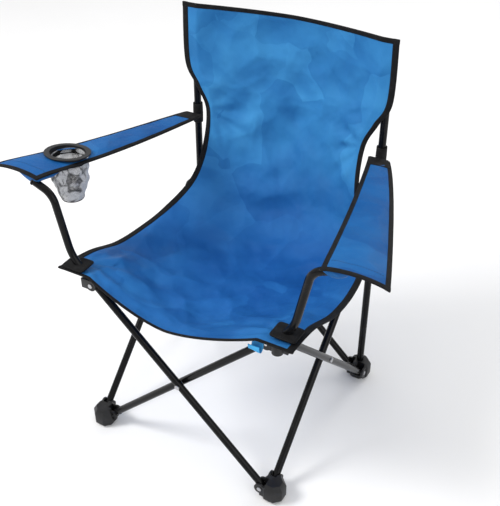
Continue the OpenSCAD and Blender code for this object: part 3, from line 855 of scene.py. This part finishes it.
@dataclass
class Sling:
    """The one-piece seat and back, its edge tape, post pockets, corner patches and tabs."""

    plan: Layout
    wardrobe: Wardrobe
    tape: float = 12 * MM
    stitch_in: float = 9.6 * MM
    tape_thick: float = 3.4 * MM
    cloth: float = 1.3 * MM
    long: float = 0.99
    flat_from: float = 0.72
    flat_top: float = 0.86
    folds: float = 10 * MM

    def edge(self) -> Array:
        """Knots of the right edge, from the front corner over the seat and up the post."""
        h, c, a, top = self.plan.half, self.plan.corner_z, self.plan.arm_z, self.plan.post_top
        return np.array([
            [h + 47 * MM, -h - 34 * MM, c - 1 * MM],
            [h + 44 * MM, -h * 0.72, c - 16 * MM],
            [h + 46 * MM, -h * 0.29, c - 50 * MM],
            [h + 43 * MM, h * 0.14, c - 60 * MM],
            [h + 31 * MM, h * 0.48, c - 49 * MM],
            [h - 5 * MM, h * 0.75, c + 6 * MM],
            [h - 29 * MM, h - 34 * MM, c + 84 * MM],
            [h - 31 * MM, h - 14 * MM, a + 18 * MM],
            [h - 6 * MM, h - 15.5 * MM, a + 75 * MM],
            [h + 19 * MM, h - 15.5 * MM, a + 128 * MM],
            [h + 19 * MM, h - 15.5 * MM, top + 13 * MM],
        ])

    def middle(self) -> Array:
        """Knots of the middle line, from the front edge over the dipped seat and up the bowed back."""
        h, c, a, top = self.plan.half, self.plan.corner_z - 48 * MM, self.plan.arm_z, self.plan.post_top
        bow, swell = 48 * MM, 17 * MM
        return np.array([
            [0, -h - 34 * MM - swell, c],
            [0, -h * 0.86, c - 22 * MM],
            [0, -h * 0.43, c - 42 * MM],
            [0, 0, c - 52 * MM],
            [0, h * 0.43, c - 44 * MM],
            [0, h * 0.8, c - 4 * MM],
            [0, h + 2 * MM, c + 72 * MM],
            [0, h + bow * 0.75, c + 162 * MM],
            [0, h + bow, a + 50 * MM],
            [0, h + bow, a + 135 * MM],
            [0, h + bow * 0.6, top + 6 * MM],
        ])

    def plain(self, u: Array, v: Array) -> Array:
        """The smooth surface: edge + (middle - edge) x dip, where the dip is 1 - (s / flat)^1.6.

        s is the distance from the middle line as a share of the half width.
        """
        u, v = np.broadcast_arrays(np.asarray(u, float), np.asarray(v, float))
        s = np.abs(2 * u - 1)
        flat = self.flat_from + (1 - self.flat_from) * np.clip((v - 0.1) * 3, 0, 1)
        flat = flat - (1 - self.flat_top) * np.clip((v - 0.6) * 5, 0, 1)
        dip = np.where(s > flat, 0, 1 - (np.minimum(s, flat) / flat) ** 1.6)[..., None]
        edge, middle = through(self.edge(), v), through(self.middle(), v)
        out = edge + (middle - edge) * dip
        out[..., 0] = (2 * u - 1) * edge[..., 0]
        return out

    def surface(self, u: Array, v: Array) -> Array:
        """The plain surface pushed along its normal by folds, which fade to nothing at the tape."""
        spot, normal = on_surface(self.plain, u, v)
        u, v = np.broadcast_arrays(np.asarray(u, float), np.asarray(v, float))
        room = fade_in(u, v, 0.16, 0.07, 0.05)
        room = room * room * (3 - 2 * room)
        place = np.stack([(u - 0.5) * 0.5, v * self.long], -1)
        soft = ripples(place, 7, 12, 0.34, 0.12)
        fine = ripples(place, 19, 16, 0.12, 0.045)
        pull = np.zeros_like(u)
        for corner in ((0.06, 0.045), (0.94, 0.045), (0.0, 0.7), (1.0, 0.7)):
            dx, dy = (u - corner[0]) * 0.5, (v - corner[1]) * self.long
            far = np.hypot(dx, dy)
            rays = np.sin(np.arctan2(dy, dx) * 11 + 1.3 * np.sin(far * 21))
            pull += rays * np.exp(-((far / 0.15) ** 2)) * np.clip(far / 0.07, 0, 1)
        wave = np.sin((v * self.long + 0.03 * np.sin(u * 7.5)) * 2 * np.pi / 0.09)
        hip = np.exp(-(((v - 0.55) / 0.09) ** 2)) * wave
        height = 1.5 * soft + 1.1 * fine + 0.4 * pull + 0.3 * hip
        return spot + normal * (height * room * self.folds)[..., None]

    def cloth_sheet(self, slack: Slack) -> bpy.types.Object:
        """The blue cloth, from tape to tape."""
        inset = 1.5 * MM
        u = np.linspace(inset / (2 * self.plan.half), 1 - inset / (2 * self.plan.half), 121)
        v = np.linspace(inset / self.long, 1 - inset / self.long, 221)
        grid_u, grid_v = np.meshgrid(u, v)
        uv = np.stack([grid_u * 2 * self.plan.half, grid_v * self.long], -1)
        piece = lay_grid("sling_cloth", self.surface(grid_u, grid_v), uv)
        thicken(piece, self.cloth)
        self.wardrobe.dress(piece, Finish.SLING)
        slack.carry(piece)
        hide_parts("sling")
        return piece

    def bind(self, slack: Slack) -> list[bpy.types.Object]:
        """The four tapes and their stitching."""
        made = []
        for name, ends, first in (("front_tape", True, True), ("top_tape", True, False),
                                  ("left_edge_tape", False, True), ("right_edge_tape", False, False)):
            size = self.long if ends else 2 * self.plan.half
            outline = strip_profile(self.tape, self.tape_thick * (1.06 if ends else 1.0))
            run = np.linspace(0, 1, 120 if ends else 260)[:, None]
            strip = bind_edge(name, self.surface, run, size, outline, ends, first, first == ends)
            self.wardrobe.dress(strip, Finish.TAPE)
            run = np.linspace(0.012, 0.988, 400)
            spot, normal = on_surface(self.surface, *along_edge(run, self.stitch_in / size, ends, first))
            row = stitches(name + "_stitching", spot + normal * self.tape_thick * 0.48, normal)
            self.wardrobe.dress(row, Finish.THREAD)
            for piece in (strip, row):
                slack.carry(piece)
                made.append(piece)
        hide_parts("sling_tape")
        return made

    def pocket(self, side: int) -> bpy.types.Object:
        """The sleeve of cloth round one post: an oval that flattens and closes above the cap."""
        node = word_of(side) + "_post_pocket"
        low, high = corners(node)
        turn = full_turn(48)
        rise = np.linspace(0, 1, 34)
        top = float(high[2]) + 4 * MM
        height = float(low[2]) + (top - float(low[2])) * np.minimum(rise / 0.92, 1)
        close = np.clip((rise - 0.8) / 0.12, 0, 1)
        shut = np.clip((1 - rise) / 0.08, 0.02, 1)
        wide = (12.4 * MM + 0.6 * MM * np.sin(rise * 9)) * shut
        deep = 11.2 * MM * (1 - 0.72 * close**2) * shut
        x = (self.plan.half - 0.5 * MM) * side + wide[:, None] * np.cos(turn)
        y = self.plan.half + deep[:, None] * np.sin(turn) - 0.6 * MM * close[:, None]
        pucker = 0.45 * MM * np.sin(turn * 5 + rise[:, None] * 14) * shut[:, None]
        points = np.stack([x + pucker * np.cos(turn), y + pucker * np.sin(turn),
                           np.broadcast_to(height[:, None], x.shape)], -1)
        piece = lay_grid(word_of(side) + "_post_sleeve", points, wrap=True)
        thicken(piece, 0.9 * MM)
        self.wardrobe.dress(piece, Finish.SLING)
        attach(piece, post_body(side))
        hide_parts(node)
        return piece

    def patch(self, side: int) -> list[bpy.types.Object]:
        """The black webbing square that a leg comes through: a low pillow with a box of stitches."""
        node = word_of(side) + "_corner_patch"
        low, high = corners(node)
        size, mid = (high - low) / 2, (high + low) / 2
        ring_x, ring_y = superellipse(72, 0.26)
        reach = np.array([0.02, 0.5, 0.8, 0.95, 1.0, 1.0, 0.95, 0.5, 0.02])
        lift = np.array([0.5, 0.5, 0.42, 0.32, 0.1, -0.5, -0.62, -0.62, -0.62]) * 2 * float(size[2])
        points = np.stack(np.broadcast_arrays(mid[0] + size[0] * reach[:, None] * ring_x,
                                              mid[1] + size[1] * reach[:, None] * ring_y,
                                              mid[2] + lift[:, None]), -1)
        uv = np.stack([points[..., 0], points[..., 1]], -1)
        uv = np.concatenate([uv, uv[:, :1]], 1)
        piece = lay_grid(node + "_webbing", points[::-1], uv[::-1], wrap=True, caps=True)
        self.wardrobe.dress(piece, Finish.WEBBING)
        body = word_of(side) + "_bracket"
        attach(piece, body)
        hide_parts(node)
        box = np.array([[-1, -1], [1, -1], [1, 1], [-1, 1], [-1, -1]]) * 0.8
        path = np.concatenate([np.linspace(a, b, 20, endpoint=False) for a, b in zip(box, box[1:])])
        spots = np.stack([mid[0] + size[0] * path[:, 0], mid[1] + size[1] * path[:, 1],
                          np.full(len(path), mid[2] + float(size[2]) * 0.86)], -1)
        row = stitches(node + "_stitching", spots, np.tile([0.0, 0.0, 1.0], (len(path), 1)))
        self.wardrobe.dress(row, Finish.THREAD)
        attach(row, body)
        return [piece, row]

    def tab(self, side: int) -> bpy.types.Object:
        """The pale loop of cloth that hangs under a front corner: a U of cloth on a bent strip."""
        h, z = self.plan.half, self.plan.corner_z
        turn = np.linspace(0, np.pi, 28)
        across = np.linspace(-12 * MM, 12 * MM, 12)
        run, wide = np.meshgrid(turn, across, indexing="ij")
        x = side * (h - 34 * MM) + wide
        y = -h - 22 * MM + 8 * MM * np.cos(run)
        drop = z - 20 * MM - 16 * MM * np.sin(run) ** 0.7 * (1 + 0.1 * np.sin(wide * 160))
        piece = lay_grid(word_of(side) + "_corner_tab", np.stack([x, y, drop], -1),
                         np.stack([wide, run * 0.02], -1))
        thicken(piece, 1.2 * MM)
        self.wardrobe.dress(piece, Finish.TAB)
        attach(piece, word_of(side) + "_bracket")
        return piece

    def build(self) -> None:
        """Makes every piece of the sling."""
        slack = Slack(self.plan)
        cloth = self.cloth_sheet(slack)
        tapes = self.bind(slack)
        log.info("sling: cloth, %d tapes and rows", len(tapes))
        for side in (-1, 1):
            sleeve = self.pocket(side)
            post_body(side) + "_post"
            patch = self.patch(side)
            log.info("pocket and patch on side %d: %s", side, patch[0].name)
        tab = self.tab(1)


# ---------------------------------------------------------------- the armrests


@dataclass
class Armrest:
    """One fabric armrest with its tape, hem, rear loop and tip pocket. side is -1 for the left."""

    plan: Layout
    wardrobe: Wardrobe
    side: int
    narrow: float = 46 * MM
    wide: float = 122 * MM
    reach: float = 10 * MM
    cloth: float = 2.2 * MM
    tape_thick: float = 3.4 * MM
    long: float = 0.4475
    cup_v: float = 0.72
    cup_hole: float = 40.4 * MM

    def __post_init__(self) -> None:
        """Reads the arm post's tip and names the body."""
        high = corners("right_arm_tip")[1]
        self.tip_x = float(high[0]) - 5.7 * MM
        self.tip_z = float(high[2]) - 9.2 * MM
        self.word = word_of(self.side)
        self.body = self.word + "_armrest"

    def plain(self, u: Array, v: Array) -> Array:
        """Surface from the back post to the front: a strip that widens, rises, sags and is crowned across.

        Width grows as v^0.8 and the middle line moves out as v^0.9.
        """
        u, v = np.broadcast_arrays(np.asarray(u, float), np.asarray(v, float))
        h = self.plan.half
        w = np.clip(v, 0, 1)
        rear_x = h + 1 * MM
        mid = rear_x + (self.tip_x + 44 * MM - rear_x) * w**0.9
        width = self.narrow + (self.wide - self.narrow) * w**0.8
        front_y = -h - self.plan.bar_off - self.reach
        y = h - 14 * MM + (front_y - h + 14 * MM) * w
        lip = np.maximum(0, (w - 0.9) / 0.1)
        base = self.plan.arm_z + (self.tip_z + 15 * MM - self.plan.arm_z) * w - 10 * MM * np.sin(np.pi * w)
        crown = 8 * MM * (1 - (2 * u - 1) ** 2) * w
        x = mid + (u - 0.5) * width
        return np.stack([x * self.side, y, base + crown - 3 * MM * lip**2], -1)

    def surface(self, u: Array, v: Array) -> Array:
        """The plain surface with soft creases that fade at its edges and round the cup."""
        spot, normal = on_surface(self.plain, u, v)
        u, v = np.broadcast_arrays(np.asarray(u, float), np.asarray(v, float))
        room = fade_in(u, v, 0.2, 0.06, 0.08)
        place = np.stack([u * 0.1, v * 0.45], -1)
        height = 1.5 * ripples(place, 31 + self.side, 12, 0.2, 0.06)
        height = height + 0.5 * ripples(place, 47, 10, 0.06, 0.03)
        if self.side < 0:
            middle = self.plain(np.array(0.5), np.array(self.cup_v))
            far = np.linalg.norm(spot[..., :2] - middle[:2], axis=-1)
            room = room * np.clip((far - 50 * MM) / (40 * MM), 0, 1)
        return spot + normal * self.side * (height * room * 3.2 * MM)[..., None]

    def cloth_sheet(self) -> bpy.types.Object:
        """The blue cloth. On the left it is a ring of rays from the cup's hole to the outline."""
        if self.side > 0:
            grid_u, grid_v = np.meshgrid(np.linspace(0.02, 0.98, 37), np.linspace(0.004, 0.996, 141))
            points = self.surface(grid_u, grid_v)
            uv = np.stack([grid_u * 0.1, grid_v * 0.45], -1)
            piece = lay_grid(self.word + "_arm_cloth", points, uv)
        else:
            bends = np.array([[0.02, 0.004], [0.98, 0.004], [0.98, 0.996], [0.02, 0.996], [0.02, 0.004]])
            outline = np.concatenate([np.linspace(a, b, n, endpoint=False)
                                      for a, b, n in zip(bends, bends[1:], (20, 90, 30, 90))])
            span_u = 0.5 * self.cup_hole / (0.5 * 104.4 * MM)
            span_v = self.cup_hole / self.long
            way = (outline - [0.5, self.cup_v]) / [span_u, span_v]
            hole = unit(way) * [span_u, span_v] + [0.5, self.cup_v]
            share = (np.linspace(0, 1, 46) ** 1.3)[:, None, None]
            uv_shares = hole[None] * (1 - share) + outline[None] * share
            points = self.surface(uv_shares[..., 0], uv_shares[..., 1])
            uv = np.concatenate([uv_shares, uv_shares[:, :1]], 1) * [0.1, 0.45]
            piece = lay_grid(self.word + "_arm_cloth", points, uv, wrap=True)
        thicken(piece, self.cloth)
        self.wardrobe.dress(piece, Finish.ARM)
        return piece

    def follow(self, piece: bpy.types.Object) -> None:
        """Rides the piece on the armrest's body."""
        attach(piece, self.body)
        self.body + "_lift"
        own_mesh(piece)

    def size_across(self, run: Array, ends: bool) -> Array | float:
        """The armrest's size square to an edge: its length at the ends, its width beside the sides."""
        return self.long if ends else self.narrow + (self.wide - self.narrow) * run**0.8

    def stitch_row(self, name: str, run: Array, depth: Array, ends: bool, first: bool,
                   lift: float) -> bpy.types.Object:
        """Stitches on the upper face of the cloth, at a depth from one edge."""
        spot, normal = on_surface(self.surface, *along_edge(run, depth, ends, first))
        up = normal * np.sign(normal[:, 2:3])
        row = stitches(f"{self.word}_arm_{name}_stitching", spot + up * lift, up)
        self.wardrobe.dress(row, Finish.THREAD)
        return row

    def bind(self) -> list[bpy.types.Object]:
        """Tape along the four edges, with a row of stitches on each."""
        made = []
        for name, ends, first in (("rear", True, True), ("front", True, False),
                                  ("inner", False, True), ("outer", False, False)):
            outline = strip_profile(10 * MM, self.tape_thick * (1.05 if ends else 1))
            run = np.linspace(0, 1, 60 if ends else 160)[:, None]
            strip = bind_edge(f"{self.word}_arm_{name}_tape", self.surface, run, self.size_across(run, ends),
                              outline, ends, first, (first == ends) != (self.side < 0))
            self.wardrobe.dress(strip, Finish.TAPE)
            run = np.linspace(0.02, 0.98, 200)
            row = self.stitch_row(name, run, 8 * MM / self.size_across(run, ends), ends, first,
                                  self.tape_thick * 0.48)
            made += [strip, row]
        return made

    def hem(self) -> bpy.types.Object:
        """The row of stitches across the cloth behind the front tape."""
        run = np.linspace(0.1, 0.9, 120)
        return self.stitch_row("hem", run, np.array(0.93), True, True, self.cloth * 0.5)

    def tip_pocket(self) -> bpy.types.Object:
        """The pocket under the front inner corner that holds the arm post's tip: a squashed dome of cloth."""
        u = np.linspace(0.01, 0.42, 22)
        v = np.linspace(0.88, 0.992, 18)
        grid_u, grid_v = np.meshgrid(u, v)
        spot = self.plain(grid_u, grid_v)
        su, sv = (grid_u - u[0]) / (u[-1] - u[0]), (grid_v - v[0]) / (v[-1] - v[0])
        swell = np.clip(np.sin(np.pi * su), 0, 1) * np.clip(sv * 6, 0, 1) * np.clip((1 - sv) * 9, 0, 1)
        belly = swell**0.6
        spot[..., 2] -= 2.2 * MM + belly * 17 * MM
        piece = lay_grid(f"{self.word}_tip_pocket", spot, np.stack([grid_u * 0.1, grid_v * 0.45], -1))
        thicken(piece, 1.2 * MM)
        self.wardrobe.dress(piece, Finish.ARM)
        return piece

    def rear_loop(self) -> list[bpy.types.Object]:
        """The black webbing loop round the post and the tab that joins it to the armrest."""
        low, high = corners(self.word + "_arm_sleeve")
        mid = (low + high) / 2
        turn = full_turn(56)
        rise = np.linspace(0, 1, 18)[:, None]
        reach = float(high[0] - low[0]) / 2 - 1.0 * MM + 0.5 * MM * np.sin(rise * np.pi)
        x, y, z = np.broadcast_arrays(mid[0] + reach * np.cos(turn), mid[1] + reach * np.sin(turn),
                                      low[2] + (high[2] - low[2]) * rise)
        loop = lay_grid(self.word + "_post_loop", np.stack([x, y, z], -1), wrap=True)
        thicken(loop, 1.8 * MM)
        self.wardrobe.dress(loop, Finish.WEBBING)
        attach(loop, self.word + "_sleeve")
        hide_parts(self.word + "_arm_sleeve")
        grid_u, grid_v = np.meshgrid(np.linspace(0.06, 0.94, 24), np.linspace(0.0, 0.07, 14))
        spot, normal = on_surface(self.plain, grid_u, grid_v)
        up = normal * np.sign(normal[..., 2:3])
        uv = np.stack([grid_u * 0.05, grid_v * 0.45], -1)
        tab = lay_grid(self.word + "_arm_rear_tab", spot + up * 2.3 * MM, uv)
        thicken(tab, 1.3 * MM)
        self.wardrobe.dress(tab, Finish.WEBBING)
        return [loop, tab]

    def build(self) -> None:
        cloth = self.cloth_sheet()
        binding = self.bind()
        hem = self.hem()
        loop, tab = self.rear_loop()
        pocket = self.tip_pocket()
        for piece in [cloth, *binding, hem, tab, pocket]:
            self.follow(piece)
        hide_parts(self.word + "_armrest")
        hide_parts(self.word + "_armrest_tape")
        self.word + "_arm_tip"
        self.word + "_arm_sleeve"
        self.word + "_arm_tip"
        post_body(self.side) + "_post"
        log.info("%s armrest: %d pieces", self.word, 5 + len(binding))


@dataclass
class CupHolder:
    """The plastic ring in the left armrest and the mesh pouch that hangs from it."""

    wardrobe: Wardrobe
    armrest: Armrest
    rumple: float = 3.0 * MM

    def ring(self) -> bpy.types.Object:
        """The moulded ring, from the frame's own shape with rounded edges."""
        piece = moulding("cup_ring_moulding", "cup_ring", 0.9 * MM)
        self.wardrobe.dress(piece, Finish.PLASTIC)
        return piece

    def pouch(self) -> bpy.types.Object:
        """The mesh pouch: a turned profile whose radius is rumpled by waves round and down it."""
        low, high = corners("cup_pouch")
        mid = (low + high) / 2
        top_r = float(high[0] - low[0]) / 2
        depth = float(high[2] - low[2])
        profile = np.array([[0.02, 0.0], [0.3, 0.0], [0.58, 0.01], [0.68, 0.04], [0.86, 0.2], [1.02, 0.42],
                            [1.12, 0.62], [1.13, 0.76], [1.04, 0.87], [0.985, 0.93], [0.985, 1.0]])
        run = np.linspace(0, 1, 64)
        shape = through(profile, run)
        turn = full_turn(112)
        drop = shape[:, 1:2]
        loose = np.clip(drop * 5, 0, 1) * np.clip((1 - drop) * 5, 0, 1)
        wave = (np.sin(turn * 5 + 3 * drop * 4) * 0.5 + np.sin(turn * 9 - drop * 11 + 1) * 0.3
                + np.sin(turn * 3 + drop * 26) * 0.35)
        radius = shape[:, :1] * top_r + self.rumple * (wave - 0.5) * loose
        sag = 1.5 * MM * np.sin(turn * 3 + 1) * loose
        points = np.stack([mid[0] + radius * np.cos(turn), mid[1] + radius * np.sin(turn),
                           low[2] + depth * drop + sag], -1)
        steps = np.linalg.norm(np.diff(shape * [top_r, depth], axis=0), axis=1)
        length = np.concatenate([[0], np.cumsum(steps)])
        around = np.linspace(0, 2 * np.pi * top_r, len(turn) + 1)
        piece = lay_grid("cup_mesh_pouch", points, np.stack(np.meshgrid(around, length), -1), wrap=True)
        thicken(piece, 0.7 * MM)
        self.wardrobe.dress(piece, Finish.MESH)
        return piece

    def bands(self) -> list[bpy.types.Object]:
        """The black tape round the pouch's mouth and the seam round its foot."""
        low, high = corners("cup_pouch")
        mid = (low + high) / 2
        top_r = float(high[0] - low[0]) / 2
        made = []
        rings = (("cup_mouth_tape", float(high[2]) - 7 * MM, top_r - 0.4 * MM, 12 * MM),
                 ("cup_foot_seam", float(low[2]) + 3.5 * MM, top_r * 0.66, 3 * MM))
        for name, height, radius, tall in rings:
            turn = full_turn(96)
            across, thick = strip_profile(tall, 1.6 * MM, 12)
            reach = radius + thick[None]
            ring = np.stack([mid[0] + reach * np.cos(turn)[:, None], mid[1] + reach * np.sin(turn)[:, None],
                             np.broadcast_to(height - tall / 2 + across[None], (len(turn), len(across)))], -1)
            closed = np.concatenate([ring, ring[:1]], 0)
            piece = lay_grid(name, closed[:, ::-1], wrap=True)
            work = bmesh.new()
            work.from_mesh(piece.data)
            bmesh.ops.remove_doubles(work, verts=work.verts, dist=1e-6)
            bmesh.ops.recalc_face_normals(work, faces=work.faces)
            work.to_mesh(piece.data)
            work.free()
            self.wardrobe.dress(piece, Finish.TAPE)
            made.append(piece)
        return made

    def build(self) -> None:
        """Makes the ring, pouch and bands, which ride on the armrest's body."""
        ring, pouch, bands = self.ring(), self.pouch(), self.bands()
        for piece in [ring, pouch, *bands]:
            self.armrest.follow(piece)
        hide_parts("cup_pouch")
        log.info("cup holder: ring, pouch and %d bands", len(bands))


# ---------------------------------------------------------------- the frame's looks


@dataclass
class ArmLeg:
    """One front leg with its bent arm post, as a smooth tube."""

    plan: Layout
    wardrobe: Wardrobe
    side: int
    past_end: float = 9 * MM
    run_low: float = 42 * MM
    bend_low: float = 90 * MM
    run_mid: float = 94 * MM
    bend_top: float = 40 * MM
    run_tip: float = 26 * MM
    steep: float = math.radians(12)
    flat: float = math.radians(68)

    def line(self) -> Array:
        """The tube's middle line: straight from the foot, then arcs and runs.

        An arc of radius r from angle a to b, both from upright, moves r (cos b - cos a) out and
        r (sin a - sin b) up.
        """
        p = self.plan
        start = np.array([-p.pivot_x, p.foot_z])
        rise = np.array([2 * p.pivot_x, p.pivot_z - p.foot_z])
        length = float(np.hypot(*rise))
        tilt = math.atan2(rise[0], rise[1])
        way = lambda a: np.array([math.sin(a), math.cos(a)])
        spots = [start + way(tilt) * s for s in np.linspace(-self.past_end, length + self.run_low, 40)]
        for radius, first, last, run in ((self.bend_low, tilt, self.steep, self.run_mid),
                                         (self.bend_top, self.steep, self.flat, self.run_tip)):
            corner = spots[-1]
            sign = 1 if last < first else -1
            for k in range(1, 21):
                a = first + (last - first) * k / 20
                step = np.array([math.cos(a) - math.cos(first), math.sin(first) - math.sin(a)])
                spots.append(corner + step * radius * sign)
            corner = spots[-1]
            spots += [corner + way(last) * run * k / 8 for k in range(1, 9)]
        flat = np.array(spots)
        y = -p.half + self.side * p.bar_off
        return np.stack([flat[:, 0] * self.side, np.full(len(flat), y), flat[:, 1]], -1)

    def build(self) -> None:
        """Makes the tube, which replaces the frame's faceted one."""
        word = word_of(self.side)
        piece = tube_along(word + "_leg_tube", self.line(), self.plan.tube_r - 0.02 * MM, 44)
        self.wardrobe.dress(piece, Finish.PAINT)
        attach(piece, word + "_leg")
        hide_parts(word + "_arm_leg")
        log.info("%s leg tube", word)


@dataclass
class Frame:
    """Finishes for the tubes, mouldings and rivets."""

    wardrobe: Wardrobe
    edge: float = 1.1 * MM

    def build(self) -> None:
        """Rounds the mouldings and dresses every CAD node that still shows."""
        slots = {part["node"]: part["material_slot"] for part in frame["record"]["subparts"]}
        by_slot = {"tube_paint": Finish.PAINT, "black_plastic": Finish.PLASTIC, "steel": Finish.STEEL,
                   "sling_cloth": Finish.SLING, "arm_cloth": Finish.ARM, "edge_tape": Finish.TAPE,
                   "black_webbing": Finish.WEBBING, "cup_mesh": Finish.MESH}
        nodes_of = frame["record"]["behaviour"]["bodies"]
        bodies = {node: body for body, nodes in nodes_of.items() for node in nodes}
        for node, material_slot in slots.items():
            self.wardrobe.dress_node(frame["nodes"][node], by_slot[material_slot])
            if node.endswith(("_foot", "_slider", "_bracket")) and "bar" not in node:
                piece = moulding(node + "_moulding", node, self.edge)
                self.wardrobe.dress(piece, Finish.PLASTIC)
                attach(piece, bodies[node])
        log.info("frame: %d nodes dressed", len(slots))


# ---------------------------------------------------------------- stage, light and camera


@dataclass(frozen=True)
class Studio:
    """Pale floor, soft light and the camera."""

    yaw: float = math.radians(34.18)
    pitch: float = math.radians(36.73)
    roll: float = math.radians(-2.76)
    eye: tuple = (0.7825, -1.3305, 1.4859)
    lens: float = 62.77
    shift_x: float = 0.1217
    shift_y: float = 0.0647

    def floor(self, wardrobe: Wardrobe) -> None:
        """A wide floor with a gentle rise far off."""
        reach = np.linspace(-14, 14, 60)
        grid_x, grid_y = np.meshgrid(reach, reach)
        rise = np.maximum(0, np.hypot(grid_x, grid_y) - 8) ** 2 * 0.06 - 0.4 * MM
        piece = lay_grid("studio_floor", np.stack([grid_x, grid_y, rise], -1))
        wardrobe.dress(piece, Finish.FLOOR)
        piece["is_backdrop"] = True

    def lamp(self, name: str, place: tuple, power: float, size: float, tint: tuple) -> None:
        """A soft square lamp aimed at the seat."""
        data = bpy.data.lights.new(name, "AREA")
        data.energy = power
        data.size = size
        data.color = tint
        lamp = bpy.data.objects.new(name, data)
        lamp.location = place
        lamp.rotation_euler = (Vector((0, 0, 0.45)) - Vector(place)).to_track_quat("-Z", "Y").to_euler()
        bpy.context.scene.collection.objects.link(lamp)

    def camera(self) -> None:
        """The camera, from its yaw about +Z, pitch down and roll."""
        cy, sy, cp, sp = math.cos(self.yaw), math.sin(self.yaw), math.cos(self.pitch), math.sin(self.pitch)
        ahead = Vector((-sy * cp, cy * cp, -sp))
        right = Vector((cy, sy, 0))
        up = right.cross(ahead)
        tilted_right = right * math.cos(self.roll) + up * math.sin(self.roll)
        tilted_up = up * math.cos(self.roll) - right * math.sin(self.roll)
        turn = Matrix((tilted_right, tilted_up, -ahead)).transposed()
        data = bpy.data.cameras.new("camera")
        data.lens = self.lens
        data.sensor_width = 36
        data.sensor_fit = "AUTO"
        data.shift_x = self.shift_x
        data.shift_y = self.shift_y
        data.clip_end = 60
        eye = bpy.data.objects.new("camera", data)
        eye.matrix_world = Matrix.Translation(Vector(self.eye)) @ turn.to_4x4()
        bpy.context.scene.collection.objects.link(eye)
        bpy.context.scene.camera = eye

    def build(self, wardrobe: Wardrobe) -> None:
        """Sets the floor, world, lamps and camera."""
        self.floor(wardrobe)
        world = bpy.data.worlds.new("studio")
        world.use_nodes = True
        sky = world.node_tree.nodes["Background"]
        sky.inputs["Color"].default_value = (1, 1, 1, 1)
        sky.inputs["Strength"].default_value = 0.8
        bpy.context.scene.world = world
        bpy.context.scene.view_settings.view_transform = "Standard"
        self.lamp("key_lamp", (-2.0, -1.6, 2.8), 84, 1.1, (1, 0.99, 0.97))
        self.lamp("fill_lamp", (2.8, -1.2, 1.8), 20, 2.2, (0.97, 0.98, 1))
        self.lamp("rim_lamp", (0.6, 3.0, 2.6), 26, 1.6, (1, 1, 1))
        self.camera()
        log.info("studio set")


def main() -> None:
    """Builds the chair's looks in order, then the studio."""
    logging.basicConfig(level=logging.INFO, format="%(name)s: %(message)s")
    wardrobe = Wardrobe()
    plan = Layout()
    Frame(wardrobe).build()
    for side in (-1, 1):
        ArmLeg(plan, wardrobe, side).build()
    Sling(plan, wardrobe).build()
    left = Armrest(plan, wardrobe, -1)
    left.build()
    Armrest(plan, wardrobe, 1).build()
    CupHolder(wardrobe, left).build()
    Studio().build(wardrobe)
    plain = lambda box: [[float(value) for value in corner] for corner in box]
    {"cad": plain(CAD_BOX), "visual": plain(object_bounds())}


if __name__ == "__main__":
    main()
